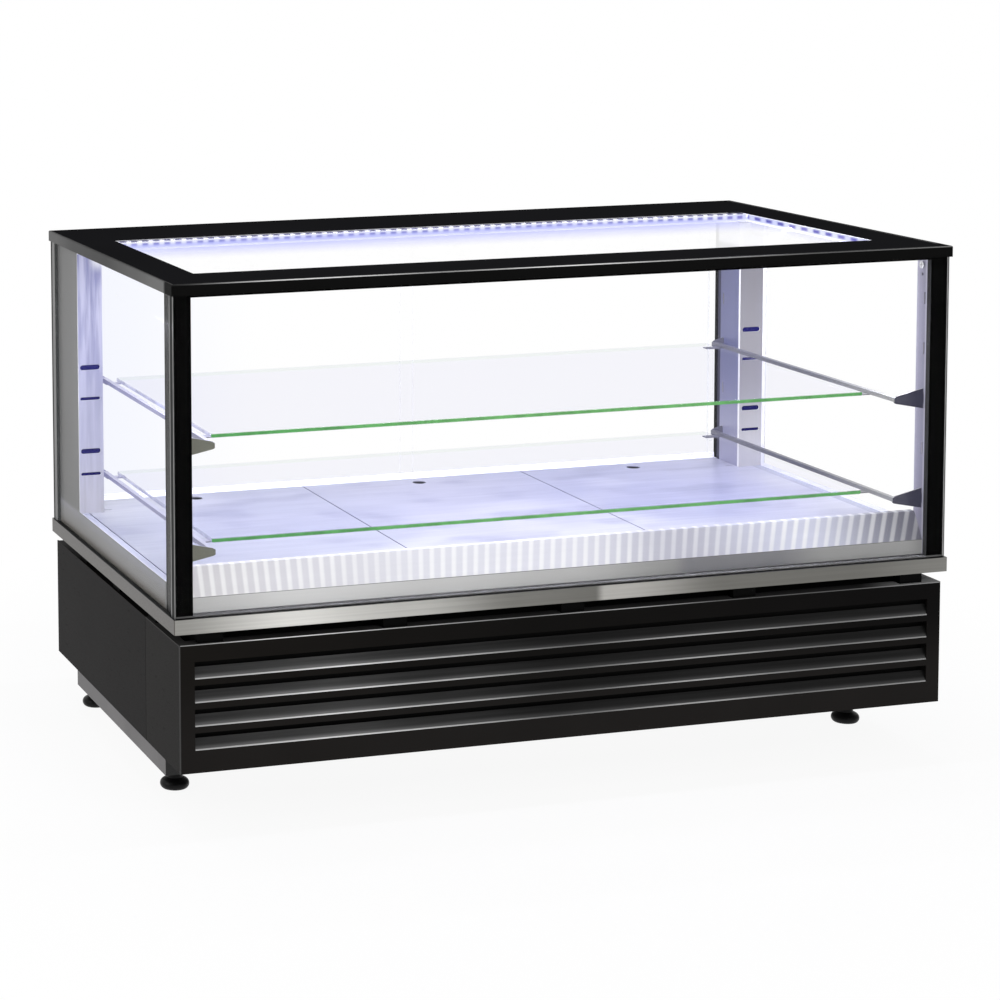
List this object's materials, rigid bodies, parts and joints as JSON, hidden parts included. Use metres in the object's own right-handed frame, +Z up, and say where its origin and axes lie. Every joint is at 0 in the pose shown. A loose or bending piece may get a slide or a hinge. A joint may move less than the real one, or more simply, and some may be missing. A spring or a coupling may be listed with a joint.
{
  "type": "bakery display case",
  "caption": "Countertop bakery display case: louvred base, stainless band, lit glass box with shelves and sliding rear doors.",
  "frame": {"origin": "centre of the footprint on the counter", "axes": "+Z up; -Y towards the customer; +X to the customer's right"},
  "size_m": [1.2, 0.65, 0.762],
  "materials": {
    "pan_grey": "satin grey powder coat",
    "base_black": "satin black powder coat",
    "frame_black": "satin black",
    "band_steel": "brushed along the length",
    "liner_steel": "smooth",
    "deck_steel": "fine brushed",
    "upright_steel": "fine brushed",
    "screw_steel": "bright",
    "foam_grey": "skinned foam",
    "hose_grey": "soft",
    "tray_black": "moulded",
    "pad_black": "matte",
    "foot_black": "moulded",
    "clear_glass": "polished",
    "shelf_glass": "polished green edge",
    "print_black": "printed ceramic border",
    "edge_black": "sealed edge spacer",
    "led_white": "white profile with light strip",
    "track_white": "white extrusion",
    "clear_acrylic": "clear acrylic extrusion",
    "fin_aluminium": "bare",
    "shell_black": "gloss black enamel",
    "shroud_grey": "galvanised",
    "fan_black": "moulded",
    "pipe_copper": "drawn copper",
    "box_grey": "satin grey",
    "control_black": "textured",
    "key_grey": "soft touch",
    "rocker_black": "polished",
    "rocker_green": "translucent green"
  },
  "bodies": {
    "cabinet": {"base_chassis": "pan_grey", "front_fascia": "base_black", "left_side_panel": "base_black", "right_side_panel": "base_black", "rear_panel": "base_black", "rim_frame": "band_steel", "rim_spacers": "pad_black", "panel_screws": "screw_steel", "tub_foam": "foam_grey", "tub_liner": "liner_steel", "drain_hose": "hose_grey", "evaporation_tray": "tray_black", "deck_support": "liner_steel", "deck_plates": "deck_steel", "front_sill": "deck_steel", "front_glass_outer": "clear_glass", "front_glass_inner": "clear_glass", "front_glass_spacer": "edge_black", "side_glasses": "clear_glass", "side_glass_borders": "print_black", "top_frame": "frame_black", "top_glass": "clear_glass", "top_glass_border": "print_black", "led_profiles": "led_white", "front_uprights": "upright_steel", "rear_uprights": "upright_steel", "upper_shelf_rails": "upright_steel", "lower_shelf_rails": "upright_steel", "upper_shelf": "shelf_glass", "lower_shelf": "shelf_glass", "rear_posts": "frame_black", "door_track_top": "track_white", "door_track_bottom": "track_white", "condenser_shroud": "shroud_grey", "condenser_coil": "fin_aluminium", "evaporator_coil": "fin_aluminium", "evaporator_fan_frame": "shroud_grey", "compressor": "shell_black", "compressor_mounts": "pad_black", "filter_drier": "pipe_copper", "refrigerant_pipes": "pipe_copper", "electrical_box": "box_grey", "controller_body": "control_black", "switch_bezel": "control_black", "power_inlet": "control_black"},
    "left_door": {"left_door_glass": "clear_glass", "left_door_grip": "clear_acrylic"},
    "right_door": {"right_door_glass": "clear_glass", "right_door_grip": "clear_acrylic"},
    "condenser_fan_body": {"condenser_fan": "fan_black"},
    "evaporator_fan_body": {"evaporator_fan": "fan_black"},
    "main_rocker_body": {"main_rocker": "rocker_green"},
    "light_rocker_body": {"light_rocker": "rocker_black"},
    "key_set_body": {"key_set": "key_grey"},
    "key_down_body": {"key_down": "key_grey"},
    "key_up_body": {"key_up": "key_grey"},
    "foot_front_left_body": {"foot_front_left": "foot_black"},
    "foot_front_right_body": {"foot_front_right": "foot_black"},
    "foot_back_left_body": {"foot_back_left": "foot_black"},
    "foot_back_right_body": {"foot_back_right": "foot_black"}
  },
  "joints": [
    {"name": "left_door_slide", "type": "slide", "parent": "cabinet", "child": "left_door", "axis": [1, 0, 0], "range_m": [0, 0.54]},
    {"name": "right_door_slide", "type": "slide", "parent": "cabinet", "child": "right_door", "axis": [-1, 0, 0], "range_m": [0, 0.54]},
    {"name": "condenser_fan_spin", "type": "hinge", "parent": "cabinet", "child": "condenser_fan_body", "pos_m": [-0.15, -0.116, 0.128], "axis": [0, 1, 0], "continuous": true},
    {"name": "evaporator_fan_spin", "type": "hinge", "parent": "cabinet", "child": "evaporator_fan_body", "pos_m": [0, 0.029, 0.288], "axis": [0, 1, 0], "continuous": true},
    {"name": "main_rocker_tilt", "type": "hinge", "parent": "cabinet", "child": "main_rocker_body", "pos_m": [-0.343, 0.314, 0.205], "axis": [1, 0, 0], "range_deg": [0, 16]},
    {"name": "light_rocker_tilt", "type": "hinge", "parent": "cabinet", "child": "light_rocker_body", "pos_m": [-0.317, 0.314, 0.205], "axis": [1, 0, 0], "range_deg": [0, 16]},
    {"name": "key_set_press", "type": "slide", "parent": "cabinet", "child": "key_set_body", "axis": [0, -1, 0], "range_m": [0, 0.0008]},
    {"name": "key_down_press", "type": "slide", "parent": "cabinet", "child": "key_down_body", "axis": [0, -1, 0], "range_m": [0, 0.0008]},
    {"name": "key_up_press", "type": "slide", "parent": "cabinet", "child": "key_up_body", "axis": [0, -1, 0], "range_m": [0, 0.0008]},
    {"name": "foot_front_left_turn", "type": "hinge", "parent": "cabinet", "child": "foot_front_left_body", "pos_m": [-0.545, -0.145, 0], "axis": [0, 0, 1], "continuous": true},
    {"name": "foot_front_right_turn", "type": "hinge", "parent": "cabinet", "child": "foot_front_right_body", "pos_m": [0.545, -0.145, 0], "axis": [0, 0, 1], "continuous": true},
    {"name": "foot_back_left_turn", "type": "hinge", "parent": "cabinet", "child": "foot_back_left_body", "pos_m": [-0.545, 0.272, 0], "axis": [0, 0, 1], "continuous": true},
    {"name": "foot_back_right_turn", "type": "hinge", "parent": "cabinet", "child": "foot_back_right_body", "pos_m": [0.545, 0.272, 0], "axis": [0, 0, 1], "continuous": true}
  ]
}
